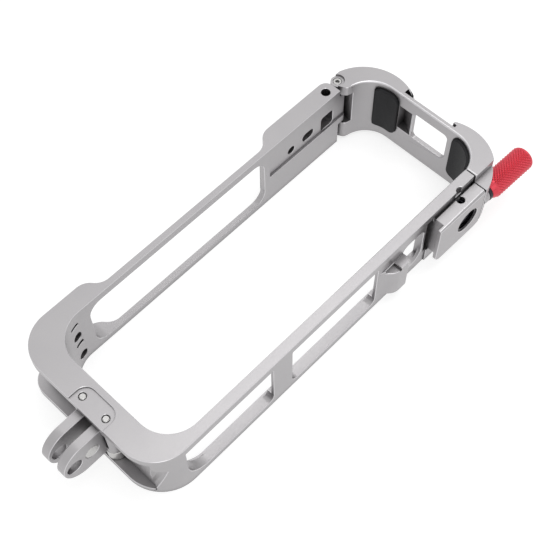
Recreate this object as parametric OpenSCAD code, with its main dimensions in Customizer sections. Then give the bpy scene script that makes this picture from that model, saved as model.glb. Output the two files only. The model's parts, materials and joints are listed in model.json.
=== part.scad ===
// Machined aluminium cage for a slim stick-shaped action camera.
// X runs across the camera, Y along it from the folding prongs to the door, Z through its depth.
// The origin is the centre of the bolt bore through the two prongs.

/* [Camera bay] */
// Clear width between the two side rails
bay_w = 47.3; // [44:0.1:54]
// Clear length between the bottom bar and the closed door
bay_l = 130.7; // [124:0.1:150]
// Depth of the cage, front face to back face
depth = 26; // [25:0.5:32]
// Offset of the bay's centre line from the prongs
bay_x = -0.7; // [-1.5:0.1:1.5]
// Inner corner radius at the bottom of the bay
bay_r = 10.5; // [8:0.5:13]

/* [Rails] */
// Thickness of the bottom bar
bar_t = 8.3; // [8:0.1:12]
// Width of the slim left rail
left_rail_w = 2.1; // [1.8:0.1:4]
// Width of the right rail
right_rail_w = 3.4; // [3.2:0.1:4.5]
// Depth of the front rails over the windows
front_rail_t = 3; // [2.5:0.1:4]
// Depth of the back rails under the windows
back_rail_t = 2.4; // [2:0.1:4]
// Width of the hinge block and of the lower left corner
block_w = 6.4; // [6:0.1:9]
// Length of the hinge block along the left side
block_l = 26.4; // [24:0.1:40]
// Outer corner radius of the front flange
corner_r = 11.5; // [9:0.5:13]
// Outer radius of the lower left corner, under the front flange
left_corner_r = 6.5; // [5:0.5:9]
// Outer radius of the lower right corner, under the front flange
right_corner_r = 13; // [10:0.5:14]

/* [Folding prongs] */
// Thickness of one prong
prong_t = 3; // [2.8:0.1:3.2]
// Clear gap between the two prongs
prong_gap = 3.3; // [3.2:0.1:3.6]
// Width of a prong
prong_w = 14.4; // [12:0.2:15]
// Diameter of the bolt bore
prong_bore_d = 5; // [5:0.1:5.4]
// Reach from the cage's bottom face to the bolt bore
prong_reach = 10; // [9.5:0.1:13]
// Metal left beyond the bolt bore
prong_rim = 1.1; // [1:0.1:4]
// Diameter of a prong's pivot pin
pivot_d = 2; // [1.8:0.1:3]
// Radius of a prong's knuckle
knuckle_r = 2.9; // [2.7:0.1:2.9]
// Diameter of the magnet in each prong
magnet_d = 4.6; // [4:0.1:5]

/* [Door] */
// Wall of the door between its two horns
door_wall = 1.6; // [1.4:0.1:3]
// Radius of the door's inner corners
door_r = 10; // [9:0.5:11]
// Outer radius of the two horns
horn_r = 15.8; // [15.4:0.1:16.2]
// Thickness of the rubber pads
pad_t = 1.6; // [1.2:0.1:2]
// Diameter of the hinge screw's shank
hinge_d = 1.8; // [1.6:0.1:2.8]
// Radius of the hinge knuckles
hinge_r = 2.2; // [2:0.1:2.8]

/* [Lock] */
// Diameter of the knurled knob
knob_d = 8.1; // [7:0.1:9]
// Length of the knob
knob_l = 18.5; // [14:0.5:24]
// Diameter of the lock screw
lock_d = 4; // [3:0.5:4]
// Length of the lock screw's tip inside the lock block
lock_tip_l = 2.1; // [1.5:0.1:2.1]
// Outward tilt of the lock screw, in degrees
lock_tilt = 2; // [1.5:0.1:3]
// Height of the lock block through the depth
lock_block_h = 17; // [16:0.5:18]
// Length of the lock block along the right rail
lock_block_l = 18.1; // [17:0.1:22]
// Outer diameter of the threaded insert
insert_d = 8.8; // [8.6:0.1:9.2]
// Minor diameter of the insert's 1/4 inch thread
tripod_d = 5.2; // [5.1:0.1:5.4]

/* [Clearances] */
// Radial running fit of the pins and of the screw shanks
run_fit = 0.05; // [0.03:0.01:0.08]
// Gap between parts that swing past each other
swing_gap = 0.3; // [0.25:0.05:0.4]
// Radial clearance round the lock screw's tip
tip_gap = 0.4; // [0.35:0.05:0.5]
// Thickness of the hinge's washers
hinge_washer_t = 0.5; // [0.3:0.1:0.8]

/* [Hidden] */
$fn = 48;
e = 0.01;

alloy = "silver";
steel = "lightgrey";
black = "#303033";
red = "#d8324a";

// Main planes and lines
z_f = depth / 2;
y_0 = prong_reach;
y_bay = y_0 + bar_t;
y_door = y_bay + bay_l;
x_l = bay_x - bay_w / 2;
x_r = bay_x + bay_w / 2;
x_lo = x_l - block_w;
x_ls = x_l - left_rail_w;
x_ro = x_r + right_rail_w;
window_top = z_f - front_rail_t;
window_low = -z_f + back_rail_t;

// Height above mid-depth of the line that the prongs, the lock screw and the insert share
axis_z = window_top - lock_block_h / 2;

// Hinge axis, at the end of the hinge block
hinge_x = x_l - 3.55;
hinge_y = y_door - 9.3;
hinge_block_end = hinge_y - hinge_r - swing_gap;
block_start = hinge_block_end - block_l;

// Seam between the door's ear and the lock block
seam_y = y_door - 8.5;

// Folding prongs and the channel they fold into
pivot_x = prong_gap / 2 + prong_t;
pivot_y = y_0 + prong_t + 0.1;
floor_y = pivot_y + swing_gap;
prong_end_r = prong_w / 2;
prong_tip = prong_bore_d / 2 + prong_rim;
pocket_r = prong_t + swing_gap;
washer_play = 0.1;
channel_end = pivot_x + pivot_y + prong_tip + swing_gap;
channel_end_r = 2;
magnet_reach = 6.9;
magnet_h = 1.6;
keeper_h = 1.5;
prong_low = axis_z - prong_w / 2;
prong_top = axis_z + prong_w / 2;

function arc(c, r, a0, a1, n = 16) =
  [for (i = [0:n]) let (a = a0 + (a1 - a0) * i / n) c + r * [cos(a), sin(a)]];

// S-curve between two points, upright at both ends
function s_curve(p, q, n = 8) =
  let (dx = q[0] - p[0], dy = q[1] - p[1], r = (dx * dx + dy * dy) / (4 * abs(dx)),
    sx = sign(dx), sy = sign(dy), t = asin(abs(dy) / 2 / r))
  concat([for (i = [0:n]) let (a = t * i / n) p + r * [sx * (1 - cos(a)), sy * sin(a)]],
    [for (i = [1:n]) let (a = t * (1 - i / n)) q - r * [sx * (1 - cos(a)), sy * sin(a)]]);

// Rounded rectangle from corner p to corner q
function round_rect(p, q, r) = concat(
  arc([p[0] + r, p[1] + r], r, 180, 270, 6), arc([q[0] - r, p[1] + r], r, 270, 360, 6),
  arc([q[0] - r, q[1] - r], r, 0, 90, 6), arc([p[0] + r, q[1] - r], r, 90, 180, 6));

// Moves a part from mid-depth to the height of the prongs' bore
module placed() {
  translate([0, 0, -axis_z]) children();
}

// Slab of a plan outline between two heights
module slab(points, z0, z1) {
  translate([0, 0, z0]) linear_extrude(z1 - z0) polygon(points);
}

// Prism along +X of an outline given as [y, z]
module x_prism(points, x0, x1) {
  translate([x0, 0, 0]) rotate([90, 0, 90]) linear_extrude(x1 - x0) polygon(points);
}

// Prism along +Y of an outline given as [x, z]
module y_prism(points, y0, y1) {
  translate([0, y1, 0]) rotate([90, 0, 0]) linear_extrude(y1 - y0) polygon(points);
}

module block(p, q) {
  translate(p) cube(q - p);
}

module z_rod(x, y, r, z0, z1) {
  translate([x, y, z0]) cylinder(r = r, h = z1 - z0);
}

module x_rod(y, z, r, x0, x1) {
  translate([x0, y, z]) rotate([0, 90, 0]) cylinder(r = r, h = x1 - x0);
}

module y_rod(x, z, r, y0, y1) {
  translate([x, y0, z]) rotate([-90, 0, 0]) cylinder(r = r, h = y1 - y0);
}

// ---- Lock corner: shared places ----

lock_block_low = window_top - lock_block_h;
lock_block_start = seam_y - lock_block_l;
lock_z = axis_z;
lock_x = x_ro + 2;
bed_x = x_r + 1.2;
bed_start = lock_block_start - 2;
insert_y = seam_y - 6.8;
block_screw_r = 1;
block_screw_y = seam_y - 14;
rail_notch = [x_ro + 0.45, seam_y - 7, 1.4];
set_screw_place = [x_ro + 1.5, seam_y - 7.7, 1.3];
set_screw_top = window_top - 1.6;
set_screw_l = set_screw_top - axis_z - insert_d / 2 - 0.1;
side_corner_r = 6.2;
side_corner_y = seam_y - 3.3;

// Frame of the lock screw: +Z runs out along the screw from the seam
module lock_axis() {
  translate([lock_x, seam_y, lock_z]) rotate([0, 0, -lock_tilt]) rotate([-90, 0, 0]) children();
}

module block_screw_places() {
  for (z = [lock_block_low + 3, window_top - 3]) {
    translate([x_r, block_screw_y, z]) rotate([0, 90, 0]) children();
  }
}

// Rounded lower corner that the lock block and the door's ear share, seen from the side
module side_corner(x0, x1, y0, y1) {
  x_prism(concat([[y0, window_top], [y0, lock_block_low]],
    arc([side_corner_y, lock_block_low + side_corner_r], side_corner_r, 270, 360),
    [[side_corner_y + side_corner_r, lock_block_low + side_corner_r + 1],
    [y1, lock_block_low + side_corner_r + 1], [y1, window_top]]), x0, x1);
}

// ---- Frame ----

s_drop = 8.5;
corner_block_l = 23.6;
rail_step = 0.55;

// Plan of the frame with its two lower corner radii and how far its right side stands back
function frame_plan(r_left, r_right, step) = concat(
  arc([x_lo + r_left, y_0 + r_left], r_left, 180, 270),
  arc([x_ro - step - r_right, y_0 + r_right], r_right, 270, 360),
  step > 0 ? [[x_ro - step, bed_start + 1], [x_ro, bed_start + 1]] : [],
  [[x_ro, seam_y], [x_r, seam_y]],
  arc([x_r - bay_r, y_bay + bay_r], bay_r, 0, -90),
  arc([x_l + bay_r, y_bay + bay_r], bay_r, 270, 180),
  [[x_l, hinge_block_end]],
  arc([x_lo + 3, hinge_block_end - 3], 3, 90, 180, 8),
  s_curve([x_lo, block_start], [x_ls, block_start - s_drop]),
  s_curve([x_ls, y_0 + corner_block_l + s_drop], [x_lo, y_0 + corner_block_l]));

// Hinge tongue between the door's two lugs
tongue_top = 8.5;
tongue_low = -3.9;
tongue_end = hinge_y + 0.8;

module hinge_tongue() {
  slab(concat([[x_l, hinge_block_end - e], [x_l, tongue_end - 1.2]],
    arc([x_l - 1.2, tongue_end - 1.2], 1.2, 0, 90, 6),
    arc([hinge_x, hinge_y], hinge_r, 60, 180),
    [[hinge_x - hinge_r, hinge_block_end - 1.5]]), tongue_low, tongue_top);
}

// Shallow relief on the inside of the hinge block, with its cut-outs
relief_t = 0.8;
relief_low = -1.2;
cutout_z = 2.2;
cutout_shift = 0.9;
cutout_skin = 1.2;

module hinge_block_cuts() {
  block([x_l - relief_t, block_start - 5.5, relief_low], [x_l + 1, tongue_end + 1, window_top - 0.4]);
  translate([0, cutout_shift, cutout_z]) {
    x_rod(block_start + 4, 0, 1.5, x_lo + cutout_skin, x_l + 1);
    x_prism(round_rect([block_start + 9.2, -1.3], [block_start + 14.2, 2.1], 1.65), x_lo + cutout_skin,
      x_l + 1);
    x_prism(round_rect([hinge_block_end - 8.6, -3.2], [hinge_block_end - 3.1, 2.8], 1.2),
      x_lo + cutout_skin, x_l + 1);
  }
  z_rod(x_l - 2.95, hinge_block_end - 3.6, 1.5, z_f - 5, z_f + 1);
}

// Openings for the camera's speaker in the lower left corner, as [z, height]
vent_rows = [[8, 1.1], [2.2, 3.2], [-1.8, 1.4]];
vent_y = y_bay + 7.7;
vent_l = 3.2;
vent_hole = [y_bay + 7.7, -8.6, 1.7];

module speaker_cuts() {
  for (v = vent_rows) {
    x_prism(round_rect([vent_y - vent_l / 2, v[0] - v[1] / 2], [vent_y + vent_l / 2, v[0] + v[1] / 2],
      v[1] / 2.1), x_lo - 1, x_l + 4);
  }
  x_rod(vent_hole[0], vent_hole[1], vent_hole[2], x_lo - 1, x_l + 4);
}

// Side windows, as [start, end] along Y
left_window = [y_0 + corner_block_l - 1.6, block_start - 8];
strut_1 = [y_0 + 44.7, y_0 + 52.4];
strut_2 = [y_0 + 88.3, y_0 + 99.6];
right_windows = [[y_0 + corner_r + 0.1, strut_1[0]], [strut_1[1], strut_2[0]]];
port_window = [strut_2[1], bed_start - 1.1];
port_low = -9;
port_top = 6.4;
port_r = 4.5;

foot_h = 2.4;
strut_t = 1.2;

// Window with rounded lower corners of two radii
function window_outline(p, q, r_start, r_end) = concat(
  arc([p[0] + r_start, p[1] + r_start], r_start, 180, 270, 10),
  arc([q[0] - r_end, p[1] + r_end], r_end, 270, 360, 6),
  arc([q[0] - foot_h, q[1] - foot_h], foot_h, 0, 90, 6),
  arc([p[0] + foot_h, q[1] - foot_h], foot_h, 90, 180, 6));

module side_windows() {
  x_prism(round_rect([left_window[0], window_low], [left_window[1], window_top], 4.5), x_lo - 1, x_l + 1);
  for (i = [0, 1]) {
    x_prism(window_outline([right_windows[i][0], window_low], [right_windows[i][1], window_top],
      i == 0 ? 8.3 : foot_h, foot_h), x_r - 2, x_ro + 1);
  }
  // The struts are thinner than their feet on the back rail
  for (wall = [strut_1, [strut_2[0], port_window[1]]]) {
    block([x_r - 1, wall[0] - 1, window_low + foot_h], [x_ro - rail_step - strut_t, wall[1], window_top]);
  }
  x_prism(window_outline([port_window[0], port_low], [port_window[1], port_top], port_r, port_r), x_r - 1,
    x_ro + 1);
}

// Lip of the back rail inside the bay, along the bottom and the right side
lip = 0.75;

module back_lip() {
  slab(concat([[0, y_bay - 1], [x_r + 1, y_bay - 1], [x_r + 1, bed_start - 1], [x_r - lip, bed_start - 1]],
    arc([x_r - lip - bay_r, y_bay + lip + bay_r], bay_r, 0, -90), [[0, y_bay + lip]]), -z_f, window_low);
}

// Between the rails, the lower left corner is rounded off from the channel's floor to the side
left_relief_r = 9;

module left_corner_relief() {
  slab(concat([[x_lo - 1, y_0 - 1], [x_lo + left_relief_r + 2, y_0 - 1], [x_lo + left_relief_r + 2, floor_y]],
    arc([x_lo + left_relief_r, floor_y + left_relief_r], left_relief_r, 270, 180),
    [[x_lo - 1, floor_y + left_relief_r]]), window_low, window_top);
}

// Slanted groove for a fingertip behind the folded right prong
groove_r = 3;
groove_foot = [18.6, 9.2, -14.5];
groove_head = [23.5, 13.3, 1.5];

module finger_groove() {
  way = groove_head - groove_foot;
  translate(groove_foot + [0, 0, axis_z]) rotate([0, 0, atan2(way[1], way[0])])
    rotate([0, atan2(norm([way[0], way[1]]), way[2]), 0])
    translate([0, 0, -3]) cylinder(r = groove_r, h = norm(way) + 3);
}

// Outward flare on the second strut, with a step cut in its front end
flare_x = x_ro - rail_step + 3.2;
flare_top = 5;

module strut_flare() {
  difference() {
    slab(concat([[x_ro - rail_step - 1, strut_2[0] + 0.5], [x_ro - rail_step, strut_2[0] + 0.5]],
      s_curve([x_ro - rail_step, strut_2[0] + 0.5], [flare_x, strut_2[0] + 7.5]),
      arc([flare_x - 1.2, strut_2[1] - 1.2], 1.2, 0, 90, 6),
      [[x_ro - rail_step - 1, strut_2[1]]]), window_low + foot_h, flare_top);
    block([x_ro - 0.2, strut_2[0] + 3, flare_top - 1.2], [flare_x + 1, strut_2[0] + 7, flare_top + 1]);
  }
}

// Channel of the folded prongs, with the round pockets of their knuckles and the pivot holes
pin_rim = 0.2;

module prong_channel() {
  slab(concat([[-channel_end, y_0 - 1], [channel_end, y_0 - 1]],
    arc([channel_end - channel_end_r, floor_y - channel_end_r], channel_end_r, 0, 90, 8),
    arc([-channel_end + channel_end_r, floor_y - channel_end_r], channel_end_r, 90, 180, 8)),
    window_low, window_top);
  for (s = [-1, 1]) {
    z_rod(s * pivot_x, pivot_y, pocket_r, window_low, window_top);
    z_rod(s * pivot_x, pivot_y, pivot_d / 2, -z_f + pin_end, z_f + 1);
    z_rod(s * pivot_x, pivot_y, pivot_d / 2 + pin_rim, z_f - recess_t - 0.5, z_f + 1);
    y_rod(s * (pivot_x + magnet_reach), axis_z, magnet_d / 2, floor_y - 1, floor_y + keeper_h);
  }
}

// Shallow recess round the pivot pins in the front flange
recess_t = 0.6;
recess_r = 3.4;
pin_end = 1.5;

module pin_recess() {
  slab(concat([[-pivot_x - 2.2, y_0 - 1], [pivot_x + 2.2, y_0 - 1]],
    arc([pivot_x + 2.2 - recess_r, pivot_y - 0.1], recess_r, 0, 90, 8),
    arc([-pivot_x - 2.2 + recess_r, pivot_y - 0.1], recess_r, 90, 180, 8)), z_f - recess_t, z_f + 1);
}

module frame_body() {
  difference() {
    union() {
      slab(frame_plan(corner_r, corner_r, 0), window_top, z_f);
      slab(frame_plan(left_corner_r, right_corner_r, rail_step), -z_f, window_top);
      back_lip();
    }
    side_windows();
    left_corner_relief();
    intersection() {
      finger_groove();
      block([0, 0, window_low], [x_ro, bay_r + y_bay, window_top]);
    }
  }
}

module frame() {
  color(alloy) placed() difference() {
    union() {
      frame_body();
      hinge_tongue();
      strut_flare();
    }
    hinge_block_cuts();
    speaker_cuts();
    prong_channel();
    pin_recess();
    // Bed of the lock block, its screws and the notch in the rail beside the set screw
    block([bed_x, bed_start, lock_block_low], [x_ro + 1, seam_y + 1, window_top]);
    z_rod(rail_notch[0], rail_notch[1], rail_notch[2], window_top - 1, z_f + 1);
    block_screw_places() {
      translate([0, 0, -1]) cylinder(r = block_screw_r, h = 4);
      translate([0, 0, -e]) cylinder(r1 = 1.9, r2 = block_screw_r, h = 0.9);
    }
    z_rod(hinge_x, hinge_y, hinge_d / 2, tongue_low - 1, tongue_top + 1);
  }
}

// ---- Lock block and what it holds ----

block_face = [x_ro + 4.8, x_ro + 5.1];
body_end_face = x_ro + 3.5;
plate_l = 2.5;
slit_w = 0.55;
slit_t = 1.8;
bevel = 0.9;
insert_seat = x_ro - 0.6;
insert_sunk = 0.5;
insert_face = block_face[0] + (block_face[1] - block_face[0]) * (insert_y - lock_block_start) / lock_block_l;

module lock_block() {
  color(alloy) placed() difference() {
    union() {
      intersection() {
        slab([[bed_x, lock_block_start], [block_face[0], lock_block_start], [block_face[1], seam_y],
          [bed_x, seam_y]], lock_block_low, window_top);
        side_corner(x_r, x_ro + 10, lock_block_start - 1, seam_y + 1);
      }
      // Outer plate that reaches past the body, with a round lower corner
      intersection() {
        slab([[body_end_face, lock_block_start - plate_l], [block_face[0] - 0.04, lock_block_start - plate_l],
          [block_face[0], lock_block_start + e], [body_end_face, lock_block_start + e]],
          lock_block_low, window_top);
        x_prism(concat(arc([lock_block_start - plate_l + 2.5, lock_block_low + 2.5], 2.5, 180, 270, 8),
          [[seam_y, lock_block_low], [seam_y, window_top], [lock_block_start - plate_l, window_top]]),
          x_ro, x_ro + 10);
      }
    }
    // Bevel along the outer front edge
    translate([block_face[1] + 0.1, 0, window_top]) rotate([0, 45, 0])
      block([-bevel / sqrt(2), lock_block_start - 5, -bevel / sqrt(2)],
        [bevel / sqrt(2), seam_y + 1, bevel / sqrt(2)]);
    // Slit beside the front rail
    block([x_ro - 0.1, lock_block_start - 1, window_top - slit_t], [x_ro + slit_w, seam_y + 1,
      window_top + 1]);
    x_rod(insert_y, lock_z, insert_d / 2, insert_seat, x_ro + 10);
    z_rod(set_screw_place[0], set_screw_place[1], set_screw_place[2], set_screw_top - set_screw_l, z_f);
    lock_axis() translate([0, 0, -lock_tip_l - tip_gap]) cylinder(r = lock_d / 2 + tip_gap, h = 6);
    block_screw_places() cylinder(r = block_screw_r, h = 5);
  }
}

module block_screws() {
  color(steel) placed() block_screw_places() {
    difference() {
      union() {
        translate([0, 0, 0.2]) cylinder(r = block_screw_r, h = 4.3);
        translate([0, 0, 0.2]) cylinder(r1 = 1.68, r2 = block_screw_r, h = 0.69);
      }
      cylinder(r = 0.7, h = 1, $fn = 6);
    }
  }
}

module set_screw() {
  color(steel) placed() difference() {
    z_rod(set_screw_place[0], set_screw_place[1], set_screw_place[2], set_screw_top - set_screw_l,
      set_screw_top);
    translate([set_screw_place[0], set_screw_place[1], set_screw_top - 1.2])
      cylinder(r = 0.75, h = 2, $fn = 6);
  }
}

module tripod_insert() {
  color(black) placed() difference() {
    x_rod(insert_y, lock_z, insert_d / 2, insert_seat, insert_face - insert_sunk);
    x_rod(insert_y, lock_z, tripod_d / 2, insert_seat + 0.6, insert_face + 1);
  }
}

// ---- Folding prongs ----

slot_w = 1;
slot_h = 9.4;

// Right prong; the left one is its mirror image
module prong() {
  difference() {
    union() {
      intersection() {
        block([pivot_x - prong_t, -prong_tip - 1, prong_low], [pivot_x, pivot_y, prong_top]);
        union() {
          block([0, prong_end_r - prong_tip, prong_low - 1], [20, pivot_y + 1, prong_top + 1]);
          x_rod(prong_end_r - prong_tip, axis_z, prong_end_r, 0, 20);
        }
      }
      z_rod(pivot_x, pivot_y, knuckle_r, prong_low, prong_top);
    }
    x_rod(0, axis_z, prong_bore_d / 2, 0, 20);
    x_rod(pivot_y - magnet_reach, axis_z, magnet_d / 2, pivot_x - magnet_h, 20);
    z_rod(pivot_x, pivot_y, pivot_d / 2 + run_fit, -z_f, z_f);
    block([pivot_x, y_0 - 1, axis_z - slot_h / 2], [pivot_x + slot_w, y_0 + 1.4, axis_z + slot_h / 2]);
  }
}

module prong_right() {
  color(alloy) placed() prong();
}

module prong_left() {
  color(alloy) placed() mirror([1, 0, 0]) prong();
}

module prong_magnet() {
  x_rod(pivot_y - magnet_reach, axis_z, magnet_d / 2, pivot_x - magnet_h, pivot_x);
}

module prong_magnet_right() {
  color(steel) placed() prong_magnet();
}

module prong_magnet_left() {
  color(steel) placed() mirror([1, 0, 0]) prong_magnet();
}

module pivot_pins() {
  color(steel) placed() for (s = [-1, 1]) {
    z_rod(s * pivot_x, pivot_y, pivot_d / 2, -z_f + pin_end, z_f - recess_t);
  }
}

// Rings on both pivot pins between two heights
module pivot_rings(z0, z1) {
  for (s = [-1, 1]) {
    difference() {
      z_rod(s * pivot_x, pivot_y, knuckle_r, z0, z1);
      z_rod(s * pivot_x, pivot_y, pivot_d / 2 + run_fit, z0 - 1, z1 + 1);
    }
  }
}

module prong_washers() {
  color(steel) placed() pivot_rings(prong_top + 2 * washer_play, window_top - washer_play);
}

module spacer_sleeves() {
  color(steel) placed() pivot_rings(window_low + washer_play, prong_low - 2 * washer_play);
}

module keeper_magnets() {
  color(steel) placed() for (s = [-1, 1]) {
    y_rod(s * (pivot_x + magnet_reach), axis_z, magnet_d / 2, floor_y, floor_y + keeper_h);
  }
}

// ---- Door ----

corner_l = [x_l + 1.18 + door_r, y_door - door_r];
corner_r_in = [x_r + 0.15 - door_r, y_door - door_r];
horn_c_l = [hinge_x + 13, y_door - 11];
horn_c_r = [x_ro - 10.5, y_door - 11];
bar_face = y_door + door_wall;
horn_side = x_ro + 0.55;
horn_end = 8.9;

// Angle at which a horn's arc meets a height or a side
function angle_at_y(c, y) = asin((y - c[1]) / horn_r);
function angle_at_x(c, x) = acos((x - c[0]) / horn_r);

// Plan of the door: inner face, then hinge knuckle, left horn, bar, right horn and ear
door_plan = concat(
  [[corner_r_in[0] + sqrt(door_r * door_r - pow(seam_y + swing_gap - corner_r_in[1], 2)),
    seam_y + swing_gap]],
  arc(corner_r_in, door_r, asin((seam_y + swing_gap - corner_r_in[1]) / door_r) + 2, 90),
  arc(corner_l, door_r, 90, 171),
  arc([x_l - 0.05, hinge_y + 0.6], 1.2, 0, -70, 5),
  arc([hinge_x, hinge_y], hinge_r, 300, 152, 12),
  arc(horn_c_l, horn_r, 161, angle_at_y(horn_c_l, bar_face), 20),
  [[horn_end, bar_face]],
  arc(horn_c_r, horn_r, angle_at_x(horn_c_r, horn_end + 0.5), angle_at_y(horn_c_r, seam_y + swing_gap), 20));

// Fork of the hinge: blind pocket between the two lugs, with room for the tongue up to the widest swing
door_swing = 110;
fork_r = 6;
fork_w = hinge_r + swing_gap;
fork_lift = 2;
fork_reach = 8;
fork_low = tongue_low - hinge_washer_t - 2 * washer_play;
fork_top = tongue_top + hinge_washer_t + 2 * washer_play;

// Pocket outline round the hinge axis; its last edge lies along the tongue when the door is wide open
fork_outline = concat([[-fork_reach, -fork_reach], [fork_r, -fork_reach]],
  arc([0, 0], fork_r, 0, asin(fork_lift / fork_r), 4),
  arc([0, 0], fork_w, asin(fork_lift / fork_w), 180 - door_swing, 10),
  [fork_w * [-cos(door_swing), sin(door_swing)] + fork_reach * [-sin(door_swing), -cos(door_swing)]]);

module fork_pocket() {
  translate([hinge_x, hinge_y, 0]) slab(fork_outline, fork_low, fork_top);
}

// How far the door's back stands in from the frame's, and the front lug's step
door_back = 1.2;
lug_step = 0.6;

// Ear: seat of the knob's washer, measured along the lock screw from the seam
ear_t = 4.3;
ear_boss_r = 2.9;
ear_boss_start = 2;

// Window in the bar and the pockets behind the horns' ends
window_x = [-3.8, 9.7];
window_z = [-3, 8.6];
skin_t = 0.5;
pocket_x = -9.4;

// Space behind the skin of the left horn's end, outwards from a height y0
module horn_pocket(y0, z0, z1) {
  skin_r = horn_r - skin_t;
  a0 = max(acos((window_x[0] - horn_c_l[0]) / skin_r), asin((y0 - horn_c_l[1]) / skin_r));
  slab(concat([[pocket_x, y0], [horn_c_l[0] + skin_r * cos(a0) - e, y0]],
    arc(horn_c_l, skin_r, a0, acos((pocket_x - horn_c_l[0]) / skin_r), 8)), z0, z1);
}

module door_body() {
  difference() {
    slab(door_plan, -z_f + door_back, z_f);
    fork_pocket();
    // The front lug is lower than the horn beside it
    z_rod(hinge_x, hinge_y, hinge_r + 0.15, z_f - lug_step, z_f + 1);
    // The ear stands out only over the height of the lock block
    for (z = [[window_top, z_f + 1], [-z_f - 1, lock_block_low]]) {
      block([horn_side, seam_y - 1, z[0]], [horn_side + 20, y_door + 10, z[1]]);
    }
    difference() {
      block([horn_side, seam_y - 1, lock_block_low - 1], [horn_side + 20, y_door + 10, window_top]);
      side_corner(horn_side - 1, horn_side + 21, seam_y - 2, y_door + 11);
    }
  }
  intersection() {
    lock_axis() translate([0, 0, ear_boss_start]) cylinder(r = ear_boss_r, h = ear_t);
    block([horn_side - 1, seam_y + swing_gap, -z_f], [horn_side + 20, y_door, z_f]);
  }
}

hinge_head_r = 1.35;
hinge_head_t = 1;
hinge_head_gap = 0.1;
lug_face = z_f - lug_step;

module door() {
  color(alloy) placed() difference() {
    door_body();
    y_prism(round_rect([window_x[0], window_z[0]], [window_x[1], window_z[1]], 1.5), y_door - 1, y_door + 8);
    horn_pocket(y_door - 1, window_z[0], window_z[1] - 1);
    horn_pocket(bar_face, window_z[1] - 2, z_f + 1);
    block([horn_end - 1, bar_face, z_f - 1.2], [horn_end + 1.7, bar_face + 1, z_f + 1]);
    pad_shape_left();
    pad_shape_right();
    z_rod(hinge_x, hinge_y, hinge_d / 2 + run_fit, -z_f - 1, z_f + 1);
    z_rod(hinge_x, hinge_y, hinge_head_r + hinge_head_gap, lug_face - hinge_head_t, z_f + 1);
    lock_axis() cylinder(r = lock_d / 2 + run_fit, h = 12);
    lock_axis() translate([0, 0, ear_t]) cylinder(r = knob_d / 2 + swing_gap, h = 24);
  }
}

module hinge_screw() {
  color(steel) placed() difference() {
    union() {
      z_rod(hinge_x, hinge_y, hinge_d / 2, -z_f + door_back + 0.3, lug_face - hinge_head_t + 0.2);
      z_rod(hinge_x, hinge_y, hinge_head_r, lug_face - hinge_head_t + 0.1, lug_face);
    }
    translate([hinge_x, hinge_y, lug_face - 0.7]) cylinder(r = 0.7, h = 2, $fn = 6);
  }
}

module hinge_washers() {
  color(black) placed() for (z = [tongue_top + washer_play, tongue_low - washer_play - hinge_washer_t]) {
    difference() {
      z_rod(hinge_x, hinge_y, hinge_r - 0.1, z, z + hinge_washer_t);
      z_rod(hinge_x, hinge_y, hinge_d / 2 + run_fit, z - 1, z + 2);
    }
  }
}

// Rubber pads let into the inner corners
pad_let = 0.6;
pad_low = -7.2;
pad_top = 10.8;
pad_corner_r = 2.5;

module pad_shape_left() {
  intersection() {
    slab(concat(
      [[corner_l[0] + 3.4, y_door + pad_let - pad_t], [corner_l[0] + 3.4, y_door + pad_let]],
      arc(corner_l, door_r + pad_let, 90, 123, 10), arc(corner_l, door_r + pad_let - pad_t, 123, 90, 10)),
      pad_low, pad_top);
    y_prism(round_rect([corner_l[0] - 5.77, pad_low], [corner_l[0] + 3.4, pad_top], pad_corner_r),
      y_door - 10, y_door + 2);
  }
}

module pad_shape_right() {
  intersection() {
    slab(concat(
      [[corner_r_in[0] - 1.2, y_door + pad_let], [corner_r_in[0] - 1.2, y_door + pad_let - pad_t]],
      arc(corner_r_in, door_r + pad_let - pad_t, 90, 16, 12), arc(corner_r_in, door_r + pad_let, 16, 90, 12)),
      pad_low, pad_top + 0.6);
    y_prism(round_rect([corner_r_in[0] - 1.2, pad_low], [x_r + 8, pad_top + 0.6], pad_corner_r),
      seam_y, y_door + 2);
  }
}

module pad_left() {
  color(black) placed() pad_shape_left();
}

module pad_right() {
  color(black) placed() pad_shape_right();
}

// ---- Lock screw and knob ----

lock_washer_t = 1.1;
lock_washer_r = 3.05;
neck_l = 1.7;
neck_r = 3.1;
screw_in_knob = 10;
knob_start = ear_t + lock_washer_t + 2 * washer_play;

module lock_screw() {
  color(steel) placed() lock_axis() translate([0, 0, -lock_tip_l])
    cylinder(r = lock_d / 2, h = lock_tip_l + knob_start + screw_in_knob);
}

module lock_washer() {
  color(black) placed() lock_axis() translate([0, 0, ear_t + washer_play]) difference() {
    cylinder(r = lock_washer_r, h = lock_washer_t);
    translate([0, 0, -1]) cylinder(r = lock_d / 2 + run_fit, h = 4);
  }
}

module lock_knob() {
  color(red) placed() lock_axis() translate([0, 0, knob_start]) difference() {
    union() {
      cylinder(r1 = neck_r, r2 = knob_d / 2, h = neck_l);
      translate([0, 0, neck_l]) cylinder(r = knob_d / 2, h = knob_l - neck_l);
    }
    translate([0, 0, -1]) cylinder(r = lock_d / 2, h = 1 + screw_in_knob);
  }
}

frame();
lock_block();
block_screws();
set_screw();
tripod_insert();
keeper_magnets();
prong_left();
prong_right();
prong_magnet_left();
prong_magnet_right();
pivot_pins();
prong_washers();
spacer_sleeves();
door();
hinge_screw();
hinge_washers();
pad_left();
pad_right();
lock_screw();
lock_washer();
lock_knob();
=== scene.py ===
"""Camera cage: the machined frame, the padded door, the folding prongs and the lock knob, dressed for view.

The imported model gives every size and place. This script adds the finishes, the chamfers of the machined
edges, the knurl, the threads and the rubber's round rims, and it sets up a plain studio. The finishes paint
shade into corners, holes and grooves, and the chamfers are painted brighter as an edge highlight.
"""

import json
import logging
import math
from dataclasses import dataclass, field
from enum import Enum
from typing import Callable, Sequence

import bmesh
import bpy
from mathutils import Matrix, Vector


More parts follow.
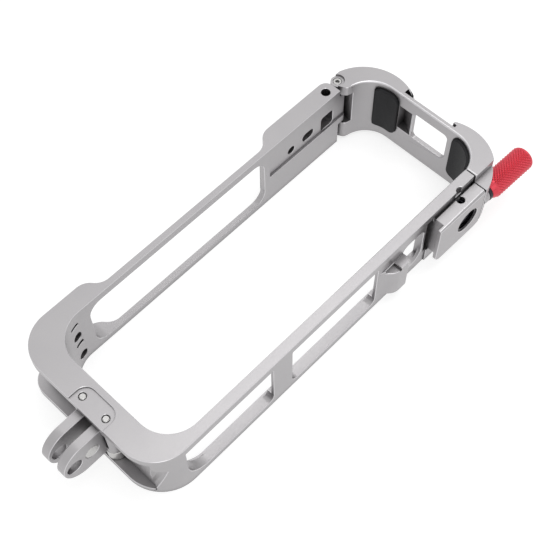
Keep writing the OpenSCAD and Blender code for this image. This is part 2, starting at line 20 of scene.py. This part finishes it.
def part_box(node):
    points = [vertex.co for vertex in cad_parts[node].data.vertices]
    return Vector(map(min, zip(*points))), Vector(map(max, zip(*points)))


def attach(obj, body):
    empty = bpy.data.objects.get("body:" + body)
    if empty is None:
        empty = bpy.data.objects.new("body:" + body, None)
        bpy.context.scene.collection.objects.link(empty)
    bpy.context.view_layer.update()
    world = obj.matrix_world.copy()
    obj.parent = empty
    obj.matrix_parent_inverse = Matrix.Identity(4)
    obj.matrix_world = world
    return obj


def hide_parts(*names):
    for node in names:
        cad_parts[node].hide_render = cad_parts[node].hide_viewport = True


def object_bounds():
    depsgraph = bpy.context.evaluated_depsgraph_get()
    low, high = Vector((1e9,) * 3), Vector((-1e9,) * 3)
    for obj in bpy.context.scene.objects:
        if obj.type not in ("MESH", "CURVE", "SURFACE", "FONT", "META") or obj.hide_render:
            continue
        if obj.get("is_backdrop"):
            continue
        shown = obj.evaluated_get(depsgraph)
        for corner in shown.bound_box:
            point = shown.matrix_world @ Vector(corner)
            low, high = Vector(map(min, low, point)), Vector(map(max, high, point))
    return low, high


logging.basicConfig(level=logging.INFO, format="%(message)s")
log = logging.getLogger("cage")

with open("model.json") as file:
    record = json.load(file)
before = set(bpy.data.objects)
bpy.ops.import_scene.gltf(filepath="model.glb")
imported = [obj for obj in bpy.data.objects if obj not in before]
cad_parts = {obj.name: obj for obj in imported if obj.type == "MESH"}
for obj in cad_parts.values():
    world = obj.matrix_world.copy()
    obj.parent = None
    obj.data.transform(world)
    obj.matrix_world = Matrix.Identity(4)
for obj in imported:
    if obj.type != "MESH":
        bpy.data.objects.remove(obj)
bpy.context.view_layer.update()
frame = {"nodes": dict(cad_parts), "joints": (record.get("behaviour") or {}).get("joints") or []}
MM = 0.001
ACROSS = Vector((1, 0, 0))

# Width of the soft clouds of tone, and how far the grain of turned and ground steel is drawn out
CLOUD_MM = 14.0
TURNED_STRETCH = 0.12
# Share of open air at which the painted shade in a hollow is darkest, and from which a surface has none
PAINTED_SHADE_FULL_BELOW, PAINTED_SHADE_NONE_ABOVE = 0.1, 0.82
# How far the roughness varies to each side, and the full height of the grain
ROUGHNESS_SPREAD = 0.05
GRAIN_HEIGHT = 0.0001
# Points closer than this become one, in a CAD mesh and in a spun one
CAD_MERGE, SPUN_MERGE = 2e-6, 1e-6
# Faces that meet at less than this many degrees become one flat face
FLAT_DEGREES = 0.6


class Grain(Enum):
    """How a surface was worked, which sets its fine texture."""

    BLASTED = "bead-blasted"
    TURNED = "turned"
    MOULDED = "moulded"
    PLAIN = "plain"


# ---- Finishes ----


def linear(code: str) -> tuple[float, float, float, float]:
    """Turns an sRGB hex colour into linear values.

    Args:
        code: Six hex digits with a leading hash.

    Returns:
        Red, green, blue and alpha, each from 0 to 1.
    """
    parts = [int(code[i:i + 2], 16) / 255 for i in (1, 3, 5)]
    return (*[c / 12.92 if c <= 0.04045 else ((c + 0.055) / 1.055) ** 2.4 for c in parts], 1.0)


def add_node(tree: bpy.types.NodeTree, kind: str, settings: dict | None = None, **sockets) -> bpy.types.Node:
    """Adds one node with its settings, values and links.

    Args:
        tree: Node tree that the node goes into.
        kind: Blender's name of the node type.
        settings: Properties of the node itself.
        **sockets: Input name with underscores for spaces, and a value or the socket that feeds it.

    Returns:
        The new node.
    """
    node = tree.nodes.new(kind)
    for key, value in (settings or {}).items():
        setattr(node, key, value)
    for key, value in sockets.items():
        name = key.replace("_", " ")
        socket = node.inputs[int(name[1:])] if name[0] == "n" and name[1:].isdigit() else node.inputs[name]
        if isinstance(value, bpy.types.NodeSocket):
            tree.links.new(value, socket)
        else:
            socket.default_value = value
    return node


@dataclass(frozen=True)
class Finish:
    """One surface finish of the cage, with shade painted into its hollows.

    The grain size is in millimetres, and the bump depth in tenths of a millimetre. The last two values say
    how far the painted shade in corners, holes and grooves reaches and how much of the colour it leaves in
    the deepest ones.
    """

    name: str
    colour: str
    shade: str
    metallic: float
    roughness: float
    grain: Grain
    grain_mm: float
    bump: float
    slot: str
    sheen: float = 0.0
    specular: float = 0.5
    painted_shade_mm: float = 5.0
    painted_shade_keep: float = 0.3

    def material(self) -> bpy.types.Material:
        """Makes the finish's material, or returns the one made before.

        Returns:
            The node material.
        """
        known = bpy.data.materials.get(self.name)
        if known:
            return known
        made = bpy.data.materials.new(self.name)
        made.use_nodes = True
        tree = made.node_tree
        tree.nodes.clear()
        place = add_node(tree, "ShaderNodeTexCoord").outputs["Object"]
        if self.grain is Grain.TURNED:
            # The tool's lines are drawn out through the depth
            place = add_node(tree, "ShaderNodeMapping", {}, Vector=place,
                             Scale=(1.0, 1.0, TURNED_STRETCH)).outputs["Vector"]
        grain = add_node(tree, "ShaderNodeTexNoise", {}, Vector=place, Scale=1000 / self.grain_mm,
                         Detail=3.0, Roughness=0.6).outputs["Fac"]
        cloud = add_node(tree, "ShaderNodeTexNoise", {}, Vector=place, Scale=1000 / CLOUD_MM,
                         Detail=2.0, Roughness=0.5).outputs["Fac"]
        tone = add_node(tree, "ShaderNodeMix", {"data_type": "RGBA"}, n0=cloud,
                        n6=linear(self.colour), n7=linear(self.shade)).outputs[2]
        # Painted shade: the colour is darkened where little open air reaches, in corners, holes, grooves and
        # between parts
        painted_shade_mask = add_node(tree, "ShaderNodeAmbientOcclusion", {"samples": 6},
                            Distance=self.painted_shade_mm * MM).outputs["AO"]
        left = add_node(tree, "ShaderNodeMapRange", {}, Value=painted_shade_mask, n1=PAINTED_SHADE_FULL_BELOW, n2=PAINTED_SHADE_NONE_ABOVE,
                        n3=self.painted_shade_keep, n4=1.0).outputs["Result"]
        tone = add_node(tree, "ShaderNodeVectorMath", {"operation": "SCALE"}, n0=tone,
                        Scale=left).outputs["Vector"]
        rough = add_node(tree, "ShaderNodeMapRange", {}, Value=grain, n1=0.3, n2=0.7,
                         n3=self.roughness - ROUGHNESS_SPREAD,
                         n4=self.roughness + ROUGHNESS_SPREAD).outputs["Result"]
        bump = add_node(tree, "ShaderNodeBump", {}, Strength=self.bump, Distance=GRAIN_HEIGHT,
                        Height=grain).outputs["Normal"]
        shader = add_node(tree, "ShaderNodeBsdfPrincipled", {}, Base_Color=tone, Roughness=rough,
                          Normal=bump, Metallic=self.metallic)
        shader.inputs["Specular IOR Level"].default_value = self.specular
        shader.inputs["Sheen Weight"].default_value = self.sheen
        add_node(tree, "ShaderNodeOutputMaterial", {}, Surface=shader.outputs["BSDF"])
        return made


# Every finish below paints shade into corners, holes, grooves and between parts, with its own reach and
# depth
# Aluminium, bead-blasted and clear anodised: an even satin grey with a very fine grain
BLASTED_ALLOY = Finish("bead_blasted_anodised_aluminium", "#adabac", "#a5a3a5", 1.0, 0.4, Grain.BLASTED,
                       0.3, 0.12, "alloy", painted_shade_mm=3.4, painted_shade_keep=0.25)
# Edges that the mill chamfered after blasting: smoother than the faces, and painted brighter as a highlight
# along each edge
CHAMFER_HIGHLIGHT_ALLOY = Finish("diamond_cut_edge_painted_highlight", "#cfcdcf", "#c4c3c5", 1.0, 0.34, Grain.PLAIN, 0.5, 0.0,
                   "alloy", painted_shade_keep=0.35)
GROUND_STEEL = Finish("ground_stainless_steel", "#c9c8c6", "#b9b8b7", 1.0, 0.3, Grain.TURNED, 0.25, 0.1,
                      "steel", painted_shade_mm=1.5, painted_shade_keep=0.25)
BLACK_STEEL = Finish("black_oxide_steel", "#3f3e43", "#353438", 1.0, 0.3, Grain.TURNED, 0.25, 0.1,
                     "black_steel", painted_shade_mm=1.2, painted_shade_keep=0.08)
# Moulded rubber: matt, nearly black, with a fine leather-like grain
PAD_RUBBER = Finish("moulded_black_rubber", "#141417", "#19191c", 0.0, 0.6, Grain.MOULDED, 0.45, 0.35,
                    "black_rubber", sheen=0.02, specular=0.3)
BLACK_NYLON = Finish("moulded_black_nylon", "#1f1f21", "#29292c", 0.0, 0.5, Grain.MOULDED, 0.5, 0.15,
                     "black_plastic")
RED_ANODISED = Finish("red_anodised_aluminium", "#dd4c59", "#d2404e", 0.7, 0.3, Grain.PLAIN, 0.3, 0.05,
                      "red_anodised", painted_shade_mm=0.9, painted_shade_keep=0.1)


# ---- Modelling ----


def joint(name: str) -> dict:
    """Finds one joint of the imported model.

    Args:
        name: Name of the joint.

    Returns:
        Its values, among them its axis and its place.
    """
    return next(row for row in frame["joints"] if row["name"] == name)


def deselect_all() -> None:
    """Leaves edit mode and deselects every object."""
    if bpy.context.object and bpy.context.object.mode != "OBJECT":
        bpy.ops.object.mode_set(mode="OBJECT")
    bpy.ops.object.select_all(action="DESELECT")


def pick(piece: bpy.types.Object) -> None:
    """Makes one object the only selected and active one.

    Args:
        piece: Object to pick.
    """
    deselect_all()
    piece.select_set(True)
    bpy.context.view_layer.objects.active = piece


def select_in_edit(piece: bpy.types.Object, mode: str, test: Callable) -> int:
    """Selects the parts of a mesh that pass a test, in edit mode.

    Args:
        piece: Object that is in edit mode.
        mode: VERT, EDGE or FACE.
        test: Says of one bmesh element whether it is selected.

    Returns:
        How many were selected.
    """
    bpy.ops.mesh.select_mode(type=mode)
    bpy.ops.mesh.select_all(action="DESELECT")
    mesh = bmesh.from_edit_mesh(piece.data)
    group = {"VERT": mesh.verts, "EDGE": mesh.edges, "FACE": mesh.faces}[mode]
    count = 0
    for part in group:
        if test(part):
            part.select_set(True)
            count += 1
    bmesh.update_edit_mesh(piece.data)
    return count


def convex(edge: bmesh.types.BMEdge, degrees: float) -> bool:
    """Says whether an edge is an outward corner sharper than an angle.

    Args:
        edge: Edge to test.
        degrees: Least angle between its two faces' normals.

    Returns:
        True for an outward corner.
    """
    return len(edge.link_faces) == 2 and edge.is_convex and edge.calc_face_angle() > math.radians(degrees)


def smooth(piece: bpy.types.Object, degrees: float) -> None:
    """Shades a piece smooth across soft edges, with flat faces kept flat.

    Args:
        piece: Object to shade.
        degrees: Edges sharper than this stay crisp.
    """
    pick(piece)
    bpy.ops.object.shade_smooth_by_angle(angle=math.radians(degrees))
    weigh = piece.modifiers.new("flat faces first", "WEIGHTED_NORMAL")
    weigh.keep_sharp = True
    weigh.weight = 100
    bpy.ops.object.modifier_apply(modifier=weigh.name)


def merged_copy(node: str, name: str) -> bpy.types.Object:
    """Copies a CAD node's mesh into a new piece, with its loose triangles merged into whole faces.

    Args:
        node: CAD node to copy.
        name: Name of the new piece.

    Returns:
        The new piece, which stands for the node.
    """
    source = frame["nodes"][node]
    piece = bpy.data.objects.new(name, source.data.copy())
    bpy.context.scene.collection.objects.link(piece)
    piece.data.materials.clear()
    pick(piece)
    bpy.ops.object.mode_set(mode="EDIT")
    bpy.ops.mesh.select_all(action="SELECT")
    bpy.ops.mesh.customdata_custom_splitnormals_clear()
    bpy.ops.mesh.remove_doubles(threshold=CAD_MERGE)
    bpy.ops.mesh.select_all(action="SELECT")
    bpy.ops.mesh.dissolve_limited(angle_limit=math.radians(FLAT_DEGREES))
    bpy.ops.object.mode_set(mode="OBJECT")
    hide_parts(node)
    return piece


def settle(piece: bpy.types.Object, body: str) -> bpy.types.Object:
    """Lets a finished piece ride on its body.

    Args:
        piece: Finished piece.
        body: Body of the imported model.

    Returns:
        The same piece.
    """
    deselect_all()
    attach(piece, body)
    log.info("%s: %d faces, rides on %s", piece.name, len(piece.data.polygons), body)
    return piece


@dataclass
class MachinedPart:
    """A milled or turned part: the CAD node's own shape with chamfered edges.

    Corners above `corner` degrees are chamfered, those that `wide` picks with its own width first, and those
    that `crisp` picks not at all. Edges below `soft` degrees are shaded smooth.
    """

    node: str
    body: str
    finish: Finish
    name: str
    chamfer: float = 0.14 * MM
    edge_highlight_finish: Finish | None = None
    corner: float = 40.0
    soft: float = 30.0
    wide: tuple[Callable, float] | None = None
    crisp: Callable | None = None

    def build(self) -> bpy.types.Object:
        """Makes the part.

        Returns:
            The finished piece.
        """
        piece = merged_copy(self.node, self.name)
        piece.data.materials.append(self.finish.material())
        # The chamfers take the second slot, which holds the brighter edge-highlight finish where one is
        # given
        piece.data.materials.append((self.edge_highlight_finish or self.finish).material())
        pick(piece)
        bpy.ops.object.mode_set(mode="EDIT")
        passes = [self.wide] if self.wide else []
        passes.append((lambda e: True, self.chamfer))
        for test, width in passes:
            if select_in_edit(piece, "EDGE", lambda e: convex(e, self.corner) and test(e)
                              and not (self.crisp and self.crisp(e))):
                bpy.ops.mesh.bevel(offset=width, segments=1, affect="EDGES", clamp_overlap=False, material=1)
        bpy.ops.object.mode_set(mode="OBJECT")
        smooth(piece, self.soft)
        return settle(piece, self.body)


# ---- Sub-assemblies ----


@dataclass
class CageBody:
    """The one-piece frame with what is fixed to it."""

    edge: float = 0.15 * MM
    small_edge: float = 0.1 * MM
    pin_edge: float = 0.22 * MM
    parts: list[bpy.types.Object] = field(default_factory=list)

    def build(self) -> list[bpy.types.Object]:
        """Makes the frame, the lock block and their small parts.

        Returns:
            The finished pieces.
        """
        for part in (
            MachinedPart("frame", "cage", BLASTED_ALLOY, "milled_frame", self.edge, CHAMFER_HIGHLIGHT_ALLOY),
            MachinedPart("lock_block", "cage", BLASTED_ALLOY, "milled_lock_block", self.edge, CHAMFER_HIGHLIGHT_ALLOY),
            MachinedPart("block_screws", "cage", GROUND_STEEL, "countersunk_screws", self.small_edge),
            MachinedPart("set_screw", "cage", BLACK_STEEL, "socket_set_screw", self.small_edge),
            MachinedPart("keeper_magnets", "cage", GROUND_STEEL, "floor_magnets", self.small_edge),
            MachinedPart("pivot_pins", "cage", GROUND_STEEL, "polished_pivot_pins", self.pin_edge),
            MachinedPart("prong_washers", "cage", GROUND_STEEL, "thin_pivot_washers", self.small_edge),
            MachinedPart("spacer_sleeves", "cage", GROUND_STEEL, "pivot_sleeves", self.small_edge),
            MachinedPart("hinge_screw", "cage", GROUND_STEEL, "hinge_cap_screw", self.small_edge),
        ):
            self.parts.append(part.build())
        return self.parts


@dataclass
class ThreadedInsert:
    """Black steel bush with a 1/4 inch thread in its bore, behind a mouth with ridges.

    The crest and ridge values are shares of the thread's pitch and of the distance between two ridges.
    """

    pitch: float = 1.27 * MM
    minor_r: float = 2.6 * MM
    major_r: float = 3.15 * MM
    crest: tuple[float, float] = (0.44, 0.56)
    steps: int = 2
    lead: float = 0.5 * MM
    ridge: tuple[float, float] = (0.8, 0.4)
    edge: float = 0.15 * MM
    rim: float = 0.2 * MM
    mouth_room: float = 0.3 * MM
    thread_gap: float = 0.1 * MM
    base: float = 0.6 * MM
    unthreaded: float = 1.7 * MM
    faces: int = 72
    soft: float = 25.0

    def build(self) -> bpy.types.Object:
        """Makes the bush with real thread ridges.

        Returns:
            The finished piece.
        """
        low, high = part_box("tripod_insert")
        centre_y, centre_z = (low.y + high.y) / 2, (low.z + high.z) / 2
        outer = (high.y - low.y) / 2
        face, seat = high.x, low.x
        crests = int((face - seat - self.unthreaded) / self.pitch)
        chain = [(seat, 0.0), (seat, outer)]
        chain += [(face - self.edge, outer), (face, outer - self.edge)]
        # Ridged mouth that leads the screw into the thread
        drop = (outer - self.mouth_room - self.major_r) / self.steps
        for k in range(self.steps):
            r = outer - self.rim - k * drop
            x = face - self.lead * (k + 1)
            chain += [(x + self.lead * share, r - drop) for share in self.ridge]
            chain.append((x, r))
        x = face - self.lead * self.steps - self.thread_gap
        for _ in range(crests):
            chain.append((x, self.major_r))
            chain += [(x - self.pitch * share, self.minor_r) for share in self.crest]
            x -= self.pitch
        chain += [(x, self.major_r), (seat + self.base, self.minor_r), (seat + self.base, 0.0)]
        piece = spun("threaded_bush", chain, Vector((0, centre_y, centre_z)), ACROSS, self.faces)
        piece.data.materials.append(BLACK_STEEL.material())
        smooth(piece, self.soft)
        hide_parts("tripod_insert")
        return settle(piece, "cage")


def spun(name: str, chain: Sequence[tuple[float, float]], origin: Vector, axis: Vector,
         steps: int) -> bpy.types.Object:
    """Spins an open chain of points into a closed turned piece.

    Args:
        name: Name of the piece.
        chain: Points as distance along the axis and radius, from one end of the axis to the other.
        origin: Point that distances count from.
        axis: Direction of the axis, of length one.
        steps: How many faces go round.

    Returns:
        The new object.
    """
    across = axis.orthogonal().normalized()
    points = [origin + axis * s + across * r for s, r in chain]
    deselect_all()
    bpy.ops.mesh.primitive_plane_add(size=MM)
    piece = bpy.context.object
    piece.name = name
    piece.data.name = name
    bpy.ops.object.mode_set(mode="EDIT")
    mesh = bmesh.from_edit_mesh(piece.data)
    bmesh.ops.delete(mesh, geom=list(mesh.verts), context="VERTS")
    made = [mesh.verts.new(piece.matrix_world.inverted() @ p) for p in points]
    for a, b in zip(made, made[1:]):
        mesh.edges.new((a, b))
    bmesh.update_edit_mesh(piece.data)
    bpy.ops.mesh.select_all(action="SELECT")
    bpy.ops.mesh.spin(steps=steps, angle=math.tau, center=origin, axis=axis, use_auto_merge=True)
    bpy.ops.mesh.select_all(action="SELECT")
    bpy.ops.mesh.remove_doubles(threshold=SPUN_MERGE)
    bpy.ops.mesh.select_all(action="SELECT")
    bpy.ops.mesh.normals_make_consistent(inside=False)
    bpy.ops.object.mode_set(mode="OBJECT")
    return piece


@dataclass
class FoldingProngs:
    """Two prongs with their magnets, each on its own pivot."""

    edge: float = 0.15 * MM
    magnet_edge: float = 0.15 * MM

    def build(self) -> list[bpy.types.Object]:
        """Makes both prongs.

        Returns:
            The finished pieces.
        """
        made = []
        for side in ("left", "right"):
            made.append(MachinedPart(f"prong_{side}", f"{side}_prong", BLASTED_ALLOY, f"milled_prong_{side}",
                                     self.edge, CHAMFER_HIGHLIGHT_ALLOY).build())
            made.append(MachinedPart(f"prong_magnet_{side}", f"{side}_prong", GROUND_STEEL,
                                     f"nickel_magnet_{side}", self.magnet_edge).build())
        return made


@dataclass
class PaddedDoor:
    """Hinged door with its two rubber pads.

    The front rim round the bay has a wider chamfer. It is found by its height, by how squarely it faces the
    bay's middle (`facing`, a share of one) and by its distance from the door's lower end (`rim_start`).
    """

    edge: float = 0.14 * MM
    inner_edge: float = 0.35 * MM
    bay_middle: float = 20 * MM
    level: float = 0.01 * MM
    facing: float = 0.3
    rim_start: float = 3 * MM
    lug_reach: float = 4.2 * MM
    washer_edge: float = 0.08 * MM
    pad_edge: float = 0.35 * MM
    pad_corner: float = 50.0
    pad_soft: float = 40.0

    def build(self) -> list[bpy.types.Object]:
        """Makes the door, its pads and its washers.

        Returns:
            The finished pieces.
        """
        low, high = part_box("door")
        middle = Vector(((low.x + high.x) / 2, low.y - self.bay_middle, 0))

        def inner(edge: bmesh.types.BMEdge) -> bool:
            """Says whether an edge is on the front rim, facing the camera's bay.

            Args:
                edge: Edge of the door to test.

            Returns:
                True for an edge of that rim.
            """
            a, b = (v.co for v in edge.verts)
            if min(a.z, b.z) < high.z - self.level:
                return False
            side = min(edge.link_faces, key=lambda f: abs(f.normal.z)).normal
            mid = (a + b) / 2
            inward = middle - mid
            return side.dot(inward) > self.facing * inward.length and mid.y > low.y + self.rim_start

        hinge = joint("door_swing")["pos_m"]

        def at_lug(edge: bmesh.types.BMEdge) -> bool:
            """Says whether an edge is where the front lug's step runs out thin.

            Args:
                edge: Edge of the door to test.

            Returns:
                True for an edge near the hinge.
            """
            mid = (edge.verts[0].co + edge.verts[1].co) / 2
            return math.hypot(mid.x - hinge[0], mid.y - hinge[1]) < self.lug_reach

        made = [
            MachinedPart("door", "door", BLASTED_ALLOY, "milled_door", self.edge, CHAMFER_HIGHLIGHT_ALLOY,
                         wide=(inner, self.inner_edge), crisp=at_lug).build(),
            MachinedPart("hinge_washers", "door", BLACK_NYLON, "nylon_hinge_washers",
                         self.washer_edge).build(),
        ]
        for side in ("left", "right"):
            pad = merged_copy(f"pad_{side}", f"rubber_pad_{side}")
            pad.data.materials.append(PAD_RUBBER.material())
            pick(pad)
            bpy.ops.object.mode_set(mode="EDIT")
            if select_in_edit(pad, "EDGE", lambda e: convex(e, self.pad_corner)):
                bpy.ops.mesh.bevel(offset=self.pad_edge, segments=3, affect="EDGES", clamp_overlap=False)
            bpy.ops.object.mode_set(mode="OBJECT")
            smooth(pad, self.pad_soft)
            made.append(settle(pad, "door"))
        return made


@dataclass
class LockKnob:
    """Red knob with a diamond knurl, on its screw with a black washer.

    Each step of the rounded end is a distance back from the end and one inwards from the knurl's floor.
    """

    radius: float = 4.05 * MM
    neck_radius: float = 3.1 * MM
    neck: float = 1.7 * MM
    neck_edge: float = 0.15 * MM
    neck_gap: float = 0.12 * MM
    knurl_pitch: float = 1.15 * MM
    knurl_depth: float = 0.32 * MM
    end_chamfer: float = 0.55 * MM
    end_steps: tuple[tuple[float, float], ...] = ((0.18 * MM, 0.3 * MM), (0.0, 0.6 * MM))
    screw_edge: float = 0.3 * MM
    washer_edge: float = 0.12 * MM
    soft: float = 12.0

    def axis(self) -> Vector:
        """Finds the direction that the screw points in.

        Returns:
            The direction outwards, of length one.
        """
        return Vector(joint("knob_turn")["axis"]).normalized()

    def seam(self) -> Vector:
        """Finds the point where the screw crosses the seam.

        Returns:
            The point, in metres.
        """
        return Vector(joint("knob_turn")["pos_m"])

    def reach(self, node: str) -> tuple[float, float]:
        """Measures a node along the screw.

        Args:
            node: CAD node to measure.

        Returns:
            Least and greatest distance from the seam.
        """
        axis, seam = self.axis(), self.seam()
        far = [(v.co - seam).dot(axis) for v in frame["nodes"][node].data.vertices]
        return min(far), max(far)

    def build(self) -> list[bpy.types.Object]:
        """Makes the knob, its screw and its washer.

        Returns:
            The finished pieces.
        """
        return [
            self.knurled_knob(),
            MachinedPart("lock_screw", "knob", GROUND_STEEL, "lock_screw_shank", self.screw_edge).build(),
            MachinedPart("lock_washer", "knob_washer", BLACK_STEEL, "black_lock_washer",
                         self.washer_edge).build(),
        ]

    def knurled_knob(self) -> bpy.types.Object:
        """Makes the knob with raised diamonds.

        Returns:
            The finished piece.
        """
        start, end = self.reach("lock_knob")
        axis, seam = self.axis(), self.seam()
        low_r = self.radius - self.knurl_depth
        columns = 2 * round(math.tau * self.radius / self.knurl_pitch)
        first = start + self.neck
        last = end - self.end_chamfer
        rows = 2 * round((last - first) / self.knurl_pitch)
        step = (last - first) / rows
        chain = [(start, 0.0), (start, self.neck_radius - self.neck_edge),
                 (start + self.neck_edge, self.neck_radius), (first - self.neck_gap, low_r)]
        chain += [(first + step * k, low_r) for k in range(rows + 1)]
        chain += [(end - back, low_r - inwards) for back, inwards in self.end_steps]
        chain.append((end, 0.0))
        piece = spun("knurled_knob", chain, seam, axis, columns)
        pick(piece)
        bpy.ops.object.mode_set(mode="EDIT")
        across = axis.orthogonal().normalized()
        along = axis.cross(across)

        def raised(vert: bmesh.types.BMVert) -> bool:
            """Says whether a point is the tip of a diamond.

            Args:
                vert: Point of the knob to test.

            Returns:
                True for a tip.
            """
            arm = vert.co - seam
            s = arm.dot(axis)
            row = (s - first) / step
            if not 0.5 < row < rows - 0.5:
                return False
            column = math.atan2(arm.dot(along), arm.dot(across)) / math.tau * columns
            return (round(row) + round(column)) % 2 == 0

        select_in_edit(piece, "VERT", raised)
        bpy.ops.transform.shrink_fatten(value=self.knurl_depth)
        bpy.ops.mesh.select_all(action="SELECT")
        bpy.ops.mesh.quads_convert_to_tris(quad_method="SHORTEST_DIAGONAL")
        bpy.ops.object.mode_set(mode="OBJECT")
        piece.data.materials.append(RED_ANODISED.material())
        smooth(piece, self.soft)
        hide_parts("lock_knob")
        return settle(piece, "knob")


# ---- Studio ----


@dataclass
class Studio:
    """Plain pale floor, soft light and the camera.

    Each softbox has a name, a place and a size in metres and a power in watts. The surround has one strength
    for the light that it gives and one for how it is seen.
    """

    lens: float = 69.1256
    camera_place: tuple[float, float, float] = (114.111 * MM, -33.254 * MM, 273.83 * MM)
    right: tuple[float, float, float] = (0.723294, 0.69052, -0.005263)
    up: tuple[float, float, float] = (-0.596939, 0.629067, 0.497935)
    forward: tuple[float, float, float] = (-0.347145, 0.357012, -0.867198)
    surround: tuple[float, float] = (0.55, 1.0)
    paper: str = "#b4b4b4"
    paper_glow: float = 0.74
    floor_size: float = 6.0
    floor_gap: float = 0.05 * MM
    aim: tuple[float, float, float] = (0, 0.07, 0)
    softboxes: tuple[tuple[str, tuple[float, float, float], float, float], ...] = (
        ("key_softbox", (0.03, 0.35, 0.96), 0.6, 2.9),
        ("side_softbox", (0.7, -0.5, 0.6), 0.6, 1.5),
    )

    def build(self) -> None:
        """Makes the whole studio."""
        self.camera()
        self.world()
        self.floor()
        self.lamps()

    def camera(self) -> None:
        """Places the camera."""
        data = bpy.data.cameras.new("camera")
        data.lens = self.lens
        data.sensor_width = 36.0
        data.clip_start, data.clip_end = 0.01, 20.0
        camera = bpy.data.objects.new("camera", data)
        bpy.context.scene.collection.objects.link(camera)
        turn = Matrix((self.right, self.up, tuple(-c for c in self.forward))).transposed()
        camera.matrix_world = Matrix.Translation(self.camera_place) @ turn.to_4x4()
        bpy.context.scene.camera = camera

    def seen(self, tree: bpy.types.NodeTree) -> bpy.types.NodeSocket:
        """Adds the nodes that tell rays of the camera, of gloss and of clear parts from the rest.

        Args:
            tree: Node tree that they go into.

        Returns:
            A socket that is 1 for those rays.
        """
        path = add_node(tree, "ShaderNodeLightPath")
        first = add_node(tree, "ShaderNodeMath", {"operation": "MAXIMUM"}, n0=path.outputs["Is Camera Ray"],
                         n1=path.outputs["Is Glossy Ray"]).outputs[0]
        return add_node(tree, "ShaderNodeMath", {"operation": "MAXIMUM"}, n0=first,
                        n1=path.outputs["Is Transmission Ray"]).outputs[0]

    def world(self) -> None:
        """Lights the scene with an even pale surrounding."""
        world = bpy.data.worlds.new("pale studio")
        bpy.context.scene.world = world
        world.use_nodes = True
        tree = world.node_tree
        tree.nodes.clear()
        level = add_node(tree, "ShaderNodeMapRange", {}, Value=self.seen(tree), n1=0.0, n2=1.0,
                         n3=self.surround[0], n4=self.surround[1]).outputs["Result"]
        back = add_node(tree, "ShaderNodeBackground", {}, Color=linear("#ffffff"), Strength=level)
        add_node(tree, "ShaderNodeOutputWorld", {}, Surface=back.outputs["Background"])

    def floor(self) -> None:
        """Makes the floor under the cage."""
        low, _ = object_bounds()
        deselect_all()
        bpy.ops.mesh.primitive_plane_add(size=self.floor_size, location=(0, 0, low.z - self.floor_gap))
        floor = bpy.context.object
        floor.name = "pale_floor"
        made = bpy.data.materials.new("pale_paper_floor")
        made.use_nodes = True
        tree = made.node_tree
        tree.nodes.clear()
        paper = add_node(tree, "ShaderNodeBsdfDiffuse", {}, Color=linear(self.paper))
        glow_level = add_node(tree, "ShaderNodeMapRange", {}, Value=self.seen(tree), n1=0.0, n2=1.0, n3=0.0,
                              n4=self.paper_glow).outputs["Result"]
        glow = add_node(tree, "ShaderNodeEmission", {}, Color=linear("#ffffff"), Strength=glow_level)
        both = add_node(tree, "ShaderNodeAddShader", {}, n0=paper.outputs[0], n1=glow.outputs[0])
        add_node(tree, "ShaderNodeOutputMaterial", {}, Surface=both.outputs[0])
        floor.data.materials.append(made)
        floor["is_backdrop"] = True

    def lamps(self) -> None:
        """Hangs the soft lamps."""
        for name, place, size, power in self.softboxes:
            data = bpy.data.lights.new(name, "AREA")
            data.size = size
            data.energy = power
            lamp = bpy.data.objects.new(name, data)
            bpy.context.scene.collection.objects.link(lamp)
            lamp.location = place
            lamp.rotation_euler = (Vector(self.aim) - Vector(place)).to_track_quat("-Z", "Y").to_euler()


def main() -> None:
    """Builds every sub-assembly and the studio, in order."""
    scene = bpy.context.scene
    scene.view_settings.view_transform = "Standard"
    CageBody().build()
    ThreadedInsert().build()
    FoldingProngs().build()
    PaddedDoor().build()
    LockKnob().build()
    Studio().build()


if __name__ == "__main__":
    main()
